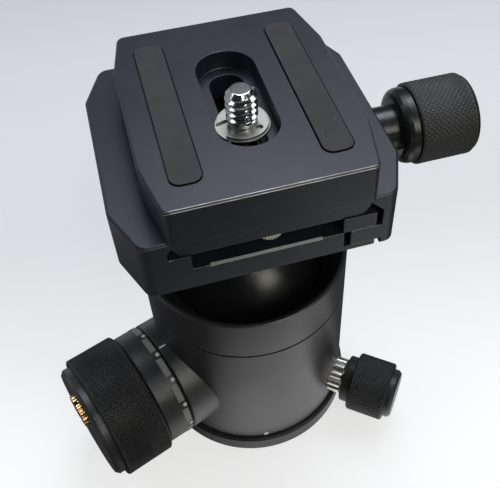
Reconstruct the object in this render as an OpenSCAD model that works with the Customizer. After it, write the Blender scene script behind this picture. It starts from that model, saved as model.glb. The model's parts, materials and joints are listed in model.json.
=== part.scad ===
// Tripod ball head with a dovetail quick-release clamp and its camera plate.
// Frame: +Z up, +X towards the clamp knob, +Y to the back.
// Origin: centre of the mouth of the tripod thread, under the base.

/* [Base] */
// Height of the base disc
base_h = 5.06; // [4.8:0.02:7]
// How far the base disc stands out past the housing
base_lip = 1.05; // [0.6:0.05:3]
// Diameter of the tripod thread
tripod_thread_d = 9.525; // [6.35:0.005:9.525]
// Depth of the tripod thread
tripod_thread_depth = 8; // [6:0.1:9]
// Gap between base disc and housing, filled by the pan washer
pan_gap = 0.36; // [0.3:0.02:0.8]
// Diameter of the centre post that the housing turns on
post_d = 24; // [20:0.1:26]

/* [Housing] */
// Height of the housing from its lower edge to the seam
housing_h = 40.08; // [39:0.1:48]
// Wall outside the collar's thread
housing_wall = 2.3; // [1.8:0.1:3.5]
// Height of the housing's floor over its lower edge
floor_h = 10.2; // [10:0.1:10.8]

/* [Collar] */
// Height of the collar over the seam
collar_h = 12; // [10:0.1:13]
// Width of the collar's top edge
collar_edge = 0.9; // [0.5:0.1:1.6]
// Wall of the collar's spigot inside the housing
spigot_wall = 2.5; // [2:0.1:3.5]
// Length of the collar's spigot
spigot_h = 3.8; // [3:0.1:6]

/* [Ball] */
// Diameter of the ball
ball_d = 38; // [34:0.1:40]
// Clearance between the ball and its seats
seat_gap = 0.3; // [0.2:0.05:0.4]
// Diameter of the neck
neck_d = 17; // [14:0.1:19]
// Height of the clamp's underside over the ball's centre
head_rise = 31.8; // [31:0.1:38]

/* [Main lock knob] */
// Direction of the knob's axis
main_angle = -160; // [-175:1:-140]
// Height of the knob's axis over the housing's lower edge
main_rise = 16.65; // [16.2:0.05:18]
// Diameter of the boss and the scale ring
boss_d = 29.6; // [26:0.1:31]
// How far the boss stands out past the housing
boss_out = 2.5; // [1.5:0.1:5]
// Width of the scale ring
scale_w = 6.6; // [5.6:0.1:9]
// Diameter over the knurl
main_knob_d = 32; // [30:0.1:35]
// Width of the knurled band
main_knob_w = 12.2; // [10:0.1:16]
// Diameter of the smooth end cap
main_cap_d = 29; // [26:0.1:29.6]
// Width of the smooth end cap
main_cap_w = 2.4; // [2:0.1:4]
// Number of grip flutes
main_flutes = 72; // [48:4:90]
// Diameter of the lock screw
main_screw_d = 6; // [5:0.1:8]
// Number of divisions on the scale ring
scale_marks_n = 13; // [8:1:16]
// Turn of the scale against the upright
scale_turn = 5.2; // [0:0.1:20]

/* [Tension wheel] */
// Diameter of the wheel
tension_d = 8.2; // [7:0.1:9]
// How far the wheel stands out of the cap
tension_out = 1.1; // [0.8:0.1:3]
// Distance of the wheel from the knob's axis
tension_offset = 7.4; // [7.2:0.1:9]

/* [Pan lock knob] */
// Direction of the knob's axis
pan_angle = -38.5; // [-60:0.5:-20]
// Height of the knob's axis over the housing's lower edge
pan_rise = 6.1; // [5:0.05:6.4]
// Diameter over the knurl
pan_knob_d = 15.46; // [13:0.02:17]
// Width of the knurled band
pan_knob_w = 9.7; // [8:0.1:14]
// Diameter of the end cap
pan_cap_d = 12.8; // [10:0.1:12.8]
// Width of the end cap
pan_cap_w = 2; // [1.5:0.1:3]
// Diameter of the fluted collar
pan_collar_d = 9.6; // [8:0.1:10.4]
// Length of the fluted collar outside the housing
pan_collar_w = 2.8; // [2:0.1:5]
// Diameter of the lock screw
pan_screw_d = 5; // [4:0.1:5.6]

/* [Clamp] */
// Length of the clamp body, along the plate
clamp_l = 54.8; // [50:0.1:60]
// Distance of the clamp's middle behind the neck's axis
clamp_back = 1.9; // [0:0.1:2.5]
// Height from the clamp's underside to the plate's bed
bed_h = 9.7; // [9.5:0.1:12]
// Height of the jaws over the bed
jaw_h = 4.6; // [4.2:0.1:5.5]
// Distance of the fixed jaw's outer face from the neck's axis
fixed_jaw_x = 28.3; // [27:0.1:34]
// Distance of the moving jaw's outer face from the neck's axis
moving_jaw_x = 29.5; // [28.5:0.1:34]
// Length of the corner chamfers, along the clamp
clamp_corner_y = 10.8; // [6:0.1:14]
// Width of the corner chamfers, across the clamp
clamp_corner_x = 6; // [3:0.1:7]
// Rounding of the clamp's upright corners
clamp_round = 2.5; // [1:0.1:3]
// Width of the gap between the base and the moving jaw
jaw_gap = 1.3; // [0.6:0.1:2]
// Depth of the end pockets under the bed
pocket_depth = 3.8; // [3:0.1:4.5]
// Half-length of the solid block between the end pockets
block_half = 12; // [9:0.1:14]
// Width of the bed's land on the moving side
land_w = 6.7; // [5.6:0.1:8]
// Travel of the moving jaw
jaw_travel = 4; // [2:0.1:4.5]

/* [Clamp knob] */
// Height of the knob's axis over the clamp's underside
clamp_knob_rise = 6.2; // [5.8:0.05:6.3]
// Diameter of the stem
stem_d = 10.2; // [9:0.1:12]
// Length of the stem
stem_w = 5.5; // [4:0.1:8]
// Diameter of the flange behind the knurl
knob_collar_d = 16.8; // [12:0.1:17.6]
// Width of the flange behind the knurl
knob_collar_w = 3.2; // [2:0.1:4]
// Diameter over the knurl
clamp_knob_d = 18.2; // [16:0.1:20]
// Width of the knurled band
clamp_knob_w = 12.6; // [9:0.1:15]
// Diameter of the rounded end
clamp_cap_d = 17.2; // [12:0.1:17.8]
// Length of the rounded end
clamp_cap_w = 0.9; // [0.7:0.1:4]
// Diameter of the clamp screw
clamp_screw_d = 6; // [5:0.1:6.2]

/* [Plate] */
// Width of the plate, across the dovetail
plate_w = 44.2; // [42:0.1:50]
// Length of the plate, along the dovetail
plate_l = 53.4; // [48:0.1:70]
// Thickness of the plate over the jaws
plate_t = 9.1; // [8:0.1:12]
// Length of the corner chamfers, along the plate
plate_corner_y = 12.5; // [8:0.1:16]
// Width of the corner chamfers, across the plate
plate_corner_x = 3.8; // [2:0.1:4.5]
// Rounding of the plate's upright corners
plate_round = 1.6; // [0.8:0.1:3]
// Width of the plate's edge bevels
plate_bevel = 0.4; // [0.3:0.05:0.7]
// Position of the plate's centre line from the neck's axis
plate_x = 0.9; // [0.4:0.1:1.2]
// Width across the dovetail's tips
dovetail_w = 38.2; // [37.6:0.1:38.4]
// Height of the dovetail's sloped side
dovetail_rise = 1.7; // [1.4:0.1:1.8]
// Sliding clearance between plate and clamp
slide_gap = 0.1; // [0.05:0.01:0.2]
// How far the dovetail stands back from each end of the plate
dovetail_back = 1.5; // [0.5:0.1:3]
// Width of the screw slot
slot_w = 12.33; // [11.8:0.01:14]
// Length of the screw slot
slot_l = 30; // [26:0.1:34]
// Depth of the ledge in the slot
ledge_depth = 4.2; // [3.6:0.1:5]
// Width of the slot under the ledge
throat_w = 7.4; // [6.8:0.1:9]

/* [Pads] */
// Width of a rubber pad
pad_w = 5.85; // [4:0.05:6.5]
// Length of a rubber pad
pad_l = 42; // [36:0.1:46]
// Thickness of a rubber pad
pad_t = 1; // [0.8:0.05:1.6]
// Gap between a pad and the sides of its recess
pad_gap = 0.25; // [0.05:0.05:0.4]
// How far a pad stands out of the plate
pad_out = 0.3; // [0.1:0.05:0.6]
// Distance of a pad's centre line from the plate's
pad_offset = 14.1; // [13:0.1:15]

/* [Camera screw] */
// Diameter of the camera thread
stud_d = 6.35; // [5:0.01:6.5]
// How far the stud stands out of the plate
stud_out = 4.7; // [3:0.1:6]
// Place of the screw along the slot
screw_y = -4; // [-6:0.1:6]
// Diameter of the retaining clip
clip_d = 11; // [9:0.1:11.3]
// Thickness of the retaining clip
clip_t = 0.6; // [0.4:0.1:0.8]
// Thickness of the washer under the clip
washer_t = 0.3; // [0.2:0.05:0.5]
// Diameter of the screw's head under the plate
screw_head_d = 12.4; // [10:0.1:12.6]
// Distance of the stop screws from the plate's centre
stop_y = 21.5; // [20:0.1:22.5]

/* [Hidden] */
$fn = 72;
touch = 0.01;
fit = 0.08;
shy = 0.2;

// Radii around the ball
ball_r = ball_d / 2;
seat_r = ball_r + seat_gap;
cavity_r = seat_r + 0.6;
spigot_r = cavity_r + spigot_wall;
housing_r = spigot_r + housing_wall;
base_r = housing_r + base_lip;
post_r = post_d / 2;

// Heights of the body
housing_z = base_h + pan_gap;
floor_z = housing_z + floor_h;
seam_z = housing_z + housing_h;
ball_z = seam_z;
collar_z = seam_z + collar_h;
post_z = floor_z + shy;
retainer_t = 1.2;
retainer_r = post_r + 3.5;
retainer_z = post_z + retainer_t;
m4_r = 2;
m4_head_r = 3.8;
tripod_r = tripod_thread_d / 2;

// Collar and liner
liner_h = 4.2;
lip_z = seam_z + liner_h + 0.5;
lip_r = sqrt(pow(seat_r, 2) - pow(lip_z - ball_z, 2)) + 0.1;
liner_r = seat_r + 1.6;
mouth_r = housing_r - collar_edge;

// Lower cup under the ball
cup_z = ball_z - ball_r - 0.4;
cup_h = 10;
cup_r = cavity_r - 0.3;
cup_hole_r = 7;
cup_flat_r = 12;

// Main lock knob, measured along its axis from the neck's axis
main_z = housing_z + main_rise;
boss_r = boss_d / 2;
boss_t = housing_r + boss_out;
ring_t = boss_t + shy;
knob_t = ring_t + scale_w + 0.3;
cap_t = knob_t + main_knob_w;
cap_end_t = cap_t + main_cap_w;
main_screw_r = main_screw_d / 2;
main_nose_r = main_screw_r - 0.8;
wedge_t0 = retainer_r - 2.5;
wedge_t1 = cavity_r - 1.4;
wedge_half = 5;
screw_bite = 5;
seam_w = 0.3;
seam_depth = 0.5;
nose_t = retainer_r - shy;
hub_r = main_screw_r + 4;
tension_r = tension_d / 2;
tension_stem_r = 1.5;
tension_stem_l = 7;
mark_h = 0.1;
mark_w = 1.5;
mark_arc = min(19, 240 / scale_marks_n);
dot_r = 0.5;
tick_turn = 176;
tick_w = 0.45;
tick_l = 1.7;

// Pan lock knob, measured along its axis
pan_z = housing_z + pan_rise;
pan_screw_r = pan_screw_d / 2;
pan_collar_t = housing_r - 0.4;
pan_collar_end = housing_r + pan_collar_w;
pan_flange_r = pan_cap_d / 2 - 0.2;
pan_flange_t = pan_collar_end + 0.5;
pan_knob_t = pan_flange_t + 2.5;
pan_cap_t = pan_knob_t + pan_knob_w;
groove_depth = 0.9;
shoe_tip_t = post_r - groove_depth + shy;
shoe_end_t = shoe_tip_t + 3.5;

// Clamp
clamp_z = ball_z + head_rise;
bed_z = clamp_z + bed_h;
jaw_z = bed_z + jaw_h;
pocket_z = bed_z - pocket_depth;
clamp_y = clamp_l / 2;
pocket_edge = 0.45;
pocket_edge_x0 = -11.6;
pocket_edge_x1 = 10.6;
plate_z = bed_z + slide_gap;
under_z = jaw_z + slide_gap;
top_z = under_z + plate_t;
tip_hw = dovetail_w / 2;
tip_z = under_z - dovetail_rise;
flank = tip_hw + tip_z;
lip_hw = flank - jaw_z + slide_gap * sqrt(2);
wall_hw = tip_hw + 1.1;
wall_z = flank + slide_gap * sqrt(2) - wall_hw;
fixed_wall_x = plate_x - wall_hw;
land_x = plate_x + tip_hw + 1.4;
jaw_wall_x = land_x + jaw_gap;
jaw_wall_z = flank + slide_gap * sqrt(2) - (jaw_wall_x - plate_x);
pocket_left_x = fixed_wall_x + 4.3;
pocket_right_x = land_x - land_w;
tongue_z0 = clamp_z + 1.9;
tongue_h = 4;
tongue_room = 6.5;
groove_x = land_x - tongue_room;
tongue_x = groove_x + 1.4;
edge = 0.5;

// Neck and its screw
neck_r = neck_d / 2;
neck_flange_r = neck_r + 2.5;
neck_flange_z = clamp_z - 2.8;
neck_spigot_r = 5.4;
neck_foot_rise = 6;
neck_foot_z = ball_z + neck_foot_rise;
shoulder_z = ball_z + sqrt(pow(ball_r, 2) - pow(neck_r, 2));
mount_r = 3;
mount_l = 12;
mount_head_r = 5;
mount_key = 5;
mount_head_h = 5.4;
mount_head_z = bed_z - mount_head_h - 0.6;

// Clamp screw and knob, along +X
clamp_axis_z = clamp_z + clamp_knob_rise;
clamp_screw_r = clamp_screw_d / 2;
clamp_screw_x = mount_head_r + 0.7;
stem_x = moving_jaw_x + shy;
knob_collar_x = stem_x + stem_w;
knob_neck_w = 0.3;
clamp_knob_x = knob_collar_x + knob_collar_w + knob_neck_w;
clamp_cap_x = clamp_knob_x + clamp_knob_w;
pin_r = 1.3;
pin_y = 14;
pin_hold = 7;
pin_x = groove_x - pin_hold;
pin_z = tongue_z0 + tongue_h / 2;
pin_end_x = moving_jaw_x - 2;

// Plate details
plate_yy = plate_l / 2;
dovetail_y = plate_yy - dovetail_back;
neck_hw = flank - under_z;
ledge_z = top_z - ledge_depth;
recess_z = plate_z + 4;
recess_w = screw_head_d + 1;
recess_l = slot_l + recess_w - slot_w;
pad_z = top_z + pad_out;
stud_r = stud_d / 2;
stud_z = top_z + stud_out;
stud_tip = 0.6;
shank_r = min(stud_r - 0.375, throat_w / 2 - 0.5);
clip_z = ledge_z + 0.1;
clip_r = clip_d / 2;
clip_end_z = clip_z + washer_t + clip_t;
clip_mouth = 4.2;
clip_turn = 195;
screw_head_z = plate_z + 0.3;
screw_head_h = 2.6;
stop_head_r = 2.75;
stop_head_h = 2.4;
stop_r = 1.5;
stop_l = 5;

// Mirror image of a half outline across the Y axis
function mirrored(pts) = concat(pts, [for (i = [len(pts) - 1:-1:0]) [-pts[i][0], pts[i][1]]]);

// Outline of a rectangle with chamfered corners, drawn in by an inset
function octagon(x0, x1, half_y, cx, cy, inset) = [
    [x0 + cx, -half_y + inset], [x1 - cx, -half_y + inset],
    [x1 - inset, -half_y + cy], [x1 - inset, half_y - cy],
    [x1 - cx, half_y - inset], [x0 + cx, half_y - inset],
    [x0 + inset, half_y - cy], [x0 + inset, -half_y + cy]
];

// Outline of a grip with small triangular flutes
function fluted(r, n, depth) = [
    for (i = [0:2 * n - 1]) let (a = i * 180 / n, q = r - (i % 2) * depth) [q * cos(a), q * sin(a)]
];

// Outline of a wheel with n round lobes
function lobed(r, n, depth, steps = 8) = [
    for (i = [0:n * steps - 1]) let (s = (i % steps) / steps, q = r - depth * pow(2 * s - 1, 2),
        a = i * 360 / (n * steps)) [q * cos(a), q * sin(a)]
];

// Turned part whose axis is level: local Z points outwards at the given heading
module on_axis(heading, z) {
    rotate([0, 0, heading]) translate([0, 0, z]) rotate([0, 90, 0]) children();
}

// Turned solid from half outlines of [radius, height]
module turned(pts) {
    rotate_extrude() polygon(pts);
}

// Rod with a small chamfer at both ends
module rod(r, z0, z1, c) {
    turned([[0, z0], [r - c, z0], [r, z0 + c], [r, z1 - c], [r - c, z1], [0, z1]]);
}

// Hexagon key socket, cut downwards from z
module hex_socket(across, z, depth) {
    translate([0, 0, z - depth]) cylinder(r = across / sqrt(3), h = depth + touch, $fn = 6);
}

// Slot with round ends, along Y
module slot(w, l, z0, z1) {
    translate([0, 0, z0]) linear_extrude(z1 - z0) {
        square([w, l - w], center = true);
        for (s = [-1, 1]) translate([0, s * (l - w) / 2]) circle(d = w);
    }
}

// Block with chamfered and rounded corners and bevelled edges above and below
module bevelled_block(x0, x1, half_y, cx, cy, z0, z1, bevel, round) {
    hull() for (p = octagon(x0, x1, half_y, cx, cy, round)) translate([p[0], p[1], z0]) {
        translate([0, 0, bevel]) cylinder(r = round, h = z1 - z0 - 2 * bevel, $fn = 32);
        cylinder(r = round - bevel, h = z1 - z0, $fn = 32);
    }
}

// Bar with an outline in X and Z, along Y
module along_y(pts, half) {
    translate([0, half, 0]) rotate([90, 0, 0]) linear_extrude(2 * half) polygon(pts);
}

module base_plate() {
    color([0.1, 0.1, 0.11]) difference() {
        turned([
            [0, 0], [base_r - 0.5, 0], [base_r, 0.5], [base_r, base_h - 0.5], [base_r - 0.5, base_h],
            [post_r, base_h], [post_r, pan_z - groove_depth], [post_r - groove_depth, pan_z],
            [post_r, pan_z + groove_depth], [post_r, post_z], [0, post_z]
        ]);
        translate([0, 0, -touch]) cylinder(r = tripod_r, h = tripod_thread_depth + touch);
        translate([0, 0, tripod_thread_depth + 1]) cylinder(r = m4_r, h = post_z);
    }
}

module pan_washer() {
    color([0.05, 0.05, 0.05]) difference() {
        translate([0, 0, base_h]) cylinder(r = housing_r - 0.9, h = pan_gap - 0.06);
        translate([0, 0, base_h - touch]) cylinder(r = post_r + 0.5, h = pan_gap);
    }
}

module pan_retainer() {
    color([0.6, 0.6, 0.62]) difference() {
        translate([0, 0, post_z]) cylinder(r = retainer_r, h = retainer_t);
        translate([0, 0, post_z - touch]) cylinder(r = m4_head_r, h = retainer_t + 2 * touch);
    }
}

module retainer_screw() {
    color([0.7, 0.7, 0.72]) difference() {
        union() {
            translate([0, 0, post_z]) cylinder(r = m4_head_r, h = retainer_t);
            translate([0, 0, tripod_thread_depth + 1]) cylinder(r = m4_r, h = retainer_z - tripod_thread_depth - 1);
        }
        hex_socket(2.5, retainer_z, 0.9);
    }
}

module housing() {
    color([0.14, 0.14, 0.15]) difference() {
        union() {
            turned([
                [0, housing_z], [housing_r - 0.4, housing_z], [housing_r, housing_z + 0.4],
                [housing_r, seam_z - seam_w], [housing_r - seam_depth, seam_z - seam_w],
                [housing_r - seam_depth, seam_z], [0, seam_z]
            ]);
            on_axis(main_angle, main_z) rod(boss_r, housing_r / 2, boss_t, 0.4);
        }
        translate([0, 0, housing_z - touch]) cylinder(r = post_r + fit, h = floor_h + 2 * touch);
        translate([0, 0, floor_z]) cylinder(r = cavity_r, h = seam_z);
        translate([0, 0, seam_z - spigot_h - shy]) cylinder(r = spigot_r + fit / 2, h = spigot_h + 1);
        on_axis(main_angle, main_z) cylinder(r = main_screw_r + fit, h = boss_t + 1);
        on_axis(pan_angle, pan_z) cylinder(r = pan_screw_r + fit, h = housing_r + 1);
        on_axis(pan_angle, pan_z) translate([0, 0, pan_collar_t])
            cylinder(d = pan_collar_d, h = 2);
    }
}

module top_collar() {
    color([0.14, 0.14, 0.15]) turned([
        [cavity_r, seam_z - spigot_h], [spigot_r, seam_z - spigot_h], [spigot_r, seam_z],
        [housing_r - seam_depth, seam_z], [housing_r - seam_depth, seam_z + seam_w],
        [housing_r, seam_z + seam_w], [housing_r, collar_z - 0.3],
        [housing_r - 0.3, collar_z], [mouth_r, collar_z], [lip_r, lip_z],
        [lip_r, seam_z + liner_h], [liner_r, seam_z + liner_h], [liner_r, seam_z], [cavity_r, seam_z]
    ]);
}

module seat_liner() {
    color([0.08, 0.08, 0.08]) difference() {
        translate([0, 0, seam_z]) cylinder(r = liner_r, h = liner_h);
        translate([0, 0, ball_z]) sphere(r = seat_r);
    }
}

module pan_index_dot() {
    color([0.95, 0.95, 0.93]) on_axis(-96.3, housing_z + 1.1) translate([0, 0, housing_r - 0.6])
        cylinder(r = 0.65, h = 0.6 + mark_h);
}

module knob_index_tick() {
    color([0.95, 0.95, 0.93]) on_axis(main_angle, main_z) rotate([0, 0, tick_turn])
        translate([boss_r - 0.5, -tick_w / 2, boss_t - tick_l - 0.4]) cube([0.5 + mark_h, tick_w, tick_l]);
}

module wedge_block() {
    color([0.75, 0.65, 0.35]) rotate([0, 0, main_angle]) difference() {
        along_y([
            [wedge_t0, retainer_z + seat_gap], [wedge_t1, retainer_z + seat_gap],
            [wedge_t1, cup_z + wedge_t1 - cup_flat_r - 2 * seat_gap],
            [wedge_t0, cup_z + wedge_t0 - cup_flat_r - 2 * seat_gap]
        ], wedge_half);
        translate([0, 0, main_z]) rotate([0, 90, 0]) translate([0, 0, nose_t - shy])
            cylinder(r = main_nose_r + fit, h = wedge_t1);
    }
}

module brake_shoe() {
    color([0.8, 0.65, 0.3]) on_axis(pan_angle, pan_z) turned([
        [0, shoe_tip_t], [0.05, shoe_tip_t], [groove_depth + 0.05, shoe_tip_t + groove_depth],
        [pan_screw_r, shoe_tip_t + groove_depth], [pan_screw_r, shoe_end_t], [0, shoe_end_t]
    ]);
}

module pan_collar() {
    color([0.85, 0.85, 0.87]) on_axis(pan_angle, pan_z) difference() {
        translate([0, 0, pan_collar_t]) linear_extrude(pan_collar_end - pan_collar_t)
            polygon(lobed(pan_collar_d / 2, 11, 0.7));
        cylinder(r = pan_screw_r + fit, h = pan_collar_end + 1);
    }
}

module lower_cup() {
    color([0.3, 0.3, 0.32]) difference() {
        turned([
            [cup_hole_r, cup_z], [cup_flat_r, cup_z], [cup_r, cup_z + cup_r - cup_flat_r],
            [cup_r, cup_z + cup_h], [cup_hole_r, cup_z + cup_h]
        ]);
        translate([0, 0, ball_z]) sphere(r = seat_r);
    }
}

module ball() {
    color([0.04, 0.04, 0.045]) difference() {
        translate([0, 0, ball_z]) sphere(r = ball_r);
        translate([0, 0, neck_foot_z - 0.3]) cylinder(r = neck_spigot_r + fit, h = ball_d);
        translate([0, 0, shoulder_z - 0.1]) cylinder(r = ball_r, h = ball_r);
    }
}

module neck() {
    color([0.04, 0.04, 0.045]) difference() {
        turned([
            [0, neck_foot_z], [neck_spigot_r, neck_foot_z],
            [neck_spigot_r, shoulder_z],
            [neck_r, shoulder_z],
            [neck_r, neck_flange_z - 1.5], [neck_flange_r, neck_flange_z],
            [neck_flange_r, clamp_z], [0, clamp_z]
        ]);
        translate([0, 0, clamp_z - mount_l]) cylinder(r = mount_r, h = mount_l + touch);
    }
}

// Solid block that the fixed jaw, the bed and the corners are cut from
module clamp_outline(z1) {
    translate([0, clamp_back, 0]) bevelled_block(-fixed_jaw_x, moving_jaw_x, clamp_y, clamp_corner_x,
        clamp_corner_y, clamp_z, z1, edge, clamp_round);
}

module clamp_base() {
    color([0.13, 0.13, 0.14]) difference() {
        intersection() {
            along_y([
                [-fixed_jaw_x, clamp_z], [land_x, clamp_z], [land_x, tongue_z0 - slide_gap],
                [groove_x, tongue_z0 - slide_gap], [groove_x, tongue_z0 + tongue_h + slide_gap],
                [land_x, tongue_z0 + tongue_h + slide_gap], [land_x, bed_z], [fixed_wall_x, bed_z],
                [fixed_wall_x, wall_z], [plate_x - lip_hw, jaw_z], [-fixed_jaw_x, jaw_z]
            ], clamp_l);
            clamp_outline(jaw_z);
        }
        for (s = [-1, 1])
            translate([pocket_left_x, s > 0 ? block_half : -clamp_l, pocket_z])
                cube([pocket_right_x - pocket_left_x, clamp_l - block_half, jaw_h + pocket_depth]);
        for (s = [-1, 1])
            translate([pocket_edge_x0, clamp_back + s * clamp_y, pocket_z]) rotate([45, 0, 0])
                translate([0, -pocket_edge / sqrt(2), -pocket_edge / sqrt(2)])
                    cube([pocket_edge_x1 - pocket_edge_x0, pocket_edge * sqrt(2), pocket_edge * sqrt(2)]);
        translate([0, 0, mount_head_z]) cylinder(r = mount_head_r, h = jaw_h + mount_head_h);
        translate([0, 0, clamp_z - touch]) cylinder(r = mount_r, h = bed_h);
        translate([clamp_screw_x - shy, 0, clamp_axis_z]) rotate([0, 90, 0])
            cylinder(r = clamp_screw_r + fit, h = moving_jaw_x);
        for (s = [-1, 1]) translate([pin_x, s * pin_y, pin_z]) rotate([0, 90, 0])
            cylinder(r = pin_r, h = moving_jaw_x);
    }
}

module clamp_mount_screw() {
    color([0.7, 0.7, 0.72]) difference() {
        union() {
            rod(mount_head_r, mount_head_z, mount_head_z + mount_head_h, 0.4);
            translate([0, 0, clamp_z - mount_l])
                cylinder(r = mount_r, h = mount_head_z - clamp_z + mount_l + touch);
        }
        hex_socket(mount_key, mount_head_z + mount_head_h, mount_key * 0.6);
    }
}

module guide_pins() {
    color([0.75, 0.75, 0.77]) for (s = [-1, 1])
        translate([0, s * pin_y, pin_z]) rotate([0, 90, 0]) rod(pin_r, pin_x, pin_end_x, pin_r * 0.15);
}

module moving_jaw() {
    color([0.13, 0.13, 0.14]) difference() {
        intersection() {
            along_y([
                [jaw_wall_x, clamp_z], [moving_jaw_x, clamp_z], [moving_jaw_x, jaw_z],
                [plate_x + lip_hw, jaw_z], [jaw_wall_x, jaw_wall_z],
                [jaw_wall_x, tongue_z0 + tongue_h], [tongue_x, tongue_z0 + tongue_h],
                [tongue_x, tongue_z0], [jaw_wall_x, tongue_z0]
            ], clamp_l);
            clamp_outline(jaw_z);
        }
        translate([tongue_x - 1, 0, clamp_axis_z]) rotate([0, 90, 0])
            cylinder(r = clamp_screw_r + fit, h = moving_jaw_x);
        for (s = [-1, 1]) translate([tongue_x - 1, s * pin_y, pin_z]) rotate([0, 90, 0])
            cylinder(r = pin_r + fit, h = pin_end_x + 0.3 - tongue_x + 1);
    }
}

module clamp_screw() {
    color([0.6, 0.6, 0.62]) translate([0, 0, clamp_axis_z]) rotate([0, 90, 0])
        rod(clamp_screw_r, clamp_screw_x, clamp_knob_x + 3, 0.4);
}

module clamp_knob_stem() {
    color([0.1, 0.1, 0.11]) translate([0, 0, clamp_axis_z]) rotate([0, 90, 0]) turned([
        [clamp_screw_r, stem_x], [stem_d / 2, stem_x], [stem_d / 2, knob_collar_x],
        [knob_collar_d / 2 - 1.8, knob_collar_x], [knob_collar_d / 2 - 0.9, knob_collar_x + 0.3],
        [knob_collar_d / 2 - 0.3, knob_collar_x + 0.9], [knob_collar_d / 2, knob_collar_x + 1.8],
        [knob_collar_d / 2, knob_collar_x + knob_collar_w],
        [stem_d / 2 + 1, knob_collar_x + knob_collar_w], [stem_d / 2 + 1, clamp_knob_x],
        [clamp_screw_r, clamp_knob_x]
    ]);
}

module clamp_knob() {
    color([0.08, 0.08, 0.085]) translate([0, 0, clamp_axis_z]) rotate([0, 90, 0]) difference() {
        translate([0, 0, clamp_knob_x]) linear_extrude(clamp_knob_w)
            polygon(fluted(clamp_knob_d / 2, 48, 0.35));
        translate([0, 0, clamp_knob_x - touch]) cylinder(r = clamp_screw_r, h = 3 + touch);
    }
}

module clamp_knob_cap() {
    color([0.09, 0.09, 0.095]) translate([clamp_cap_x, 0, clamp_axis_z]) rotate([0, 90, 0]) turned([
        [0, 0], [clamp_cap_d / 2, 0], [clamp_cap_d / 2, clamp_cap_w * 0.4],
        [clamp_cap_d / 2 - 0.25, clamp_cap_w * 0.75], [clamp_cap_d / 2 - 0.8, clamp_cap_w], [0, clamp_cap_w]
    ]);
}

module qr_plate() {
    color([0.12, 0.12, 0.13]) difference() {
        union() {
            bevelled_block(plate_x - plate_w / 2, plate_x + plate_w / 2, plate_yy,
                plate_corner_x, plate_corner_y, under_z, top_z, plate_bevel, plate_round);
            translate([plate_x, 0, 0]) along_y(mirrored([
                [tip_hw - 1.5, plate_z], [tip_hw, plate_z + 2.1], [tip_hw, tip_z], [neck_hw, under_z + touch]
            ]), dovetail_y);
        }
        translate([plate_x, 0, 0]) {
            slot(slot_w, slot_l, ledge_z, top_z + 1);
            slot(throat_w, slot_l - slot_w + throat_w, plate_z, top_z);
            slot(recess_w, recess_l, plate_z - 1, recess_z);
            for (s = [-1, 1]) {
                translate([s * pad_offset, 0, 0]) pad_shape(pad_z - pad_t, top_z + 1, pad_gap);
                translate([0, s * stop_y, plate_z - touch]) cylinder(r = stop_r, h = stop_l + touch);
            }
        }
    }
}

// Rubber pad outline with rounded corners, widened by grow for its recess
module pad_shape(z0, z1, grow = 0) {
    corner = 2;
    translate([0, 0, z0]) linear_extrude(z1 - z0) offset(r = grow) {
        square([pad_w, pad_l - 2 * corner], center = true);
        square([pad_w - 2 * corner, pad_l], center = true);
        for (x = [-1, 1], y = [-1, 1])
            translate([x * (pad_w / 2 - corner), y * (pad_l / 2 - corner)]) circle(r = corner);
    }
}

module pad_left() {
    color([0.2, 0.2, 0.2]) translate([plate_x - pad_offset, 0, 0]) pad_shape(pad_z - pad_t, pad_z);
}

module pad_right() {
    color([0.2, 0.2, 0.2]) translate([plate_x + pad_offset, 0, 0]) pad_shape(pad_z - pad_t, pad_z);
}

module stop_screws() {
    color([0.75, 0.75, 0.77]) for (s = [-1, 1]) translate([plate_x, s * stop_y, 0]) difference() {
        union() {
            translate([0, 0, plate_z - stop_head_h]) linear_extrude(stop_head_h)
                polygon(fluted(stop_head_r, 28, 0.25));
            translate([0, 0, plate_z - touch]) cylinder(r = stop_r, h = stop_l);
        }
        translate([0, 0, plate_z - stop_head_h - touch])
            cylinder(r = 1.4, h = 1.6, $fn = 6);
    }
}

module clip_washer() {
    color([0.7, 0.7, 0.72]) translate([plate_x, screw_y, clip_z]) difference() {
        cylinder(r = clip_r, h = washer_t);
        translate([0, 0, -touch]) cylinder(r = shank_r + fit, h = washer_t + 2 * touch);
    }
}

module e_clip() {
    color([0.85, 0.85, 0.87]) translate([plate_x, screw_y, clip_z + washer_t]) rotate([0, 0, clip_turn])
        difference() {
            cylinder(r = clip_r - 0.3, h = clip_t);
            translate([0, 0, -touch]) cylinder(r = shank_r + fit, h = clip_t + 2 * touch);
            translate([0, -clip_mouth / 2, -touch]) cube([clip_d, clip_mouth, clip_t + 2 * touch]);
            for (a = [120, 240]) rotate([0, 0, a]) translate([shank_r + 1, 0, -touch])
                cylinder(r = 0.7, h = clip_t + 2 * touch);
        }
}

module camera_screw() {
    color([0.8, 0.8, 0.82]) translate([plate_x, screw_y, 0]) difference() {
        turned([
            [0, screw_head_z], [screw_head_d / 2 - 0.4, screw_head_z], [screw_head_d / 2, screw_head_z + 0.4],
            [screw_head_d / 2, screw_head_z + screw_head_h], [shank_r, screw_head_z + screw_head_h],
            [shank_r, clip_end_z + 1.9], [stud_r, clip_end_z + 1.9 + stud_r - shank_r],
            [stud_r, stud_z - stud_tip], [stud_r - stud_tip, stud_z], [0, stud_z]
        ]);
        translate([-screw_head_d, -0.6, screw_head_z - touch]) cube([2 * screw_head_d, 1.2, 1.2]);
    }
}

module main_lock_screw() {
    color([0.6, 0.6, 0.62]) on_axis(main_angle, main_z) turned([
        [0, nose_t], [main_nose_r, nose_t], [main_nose_r, wedge_t1 + shy],
        [main_screw_r, wedge_t1 + shy + main_screw_r - main_nose_r],
        [main_screw_r, knob_t + screw_bite], [0, knob_t + screw_bite]
    ]);
}

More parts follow.
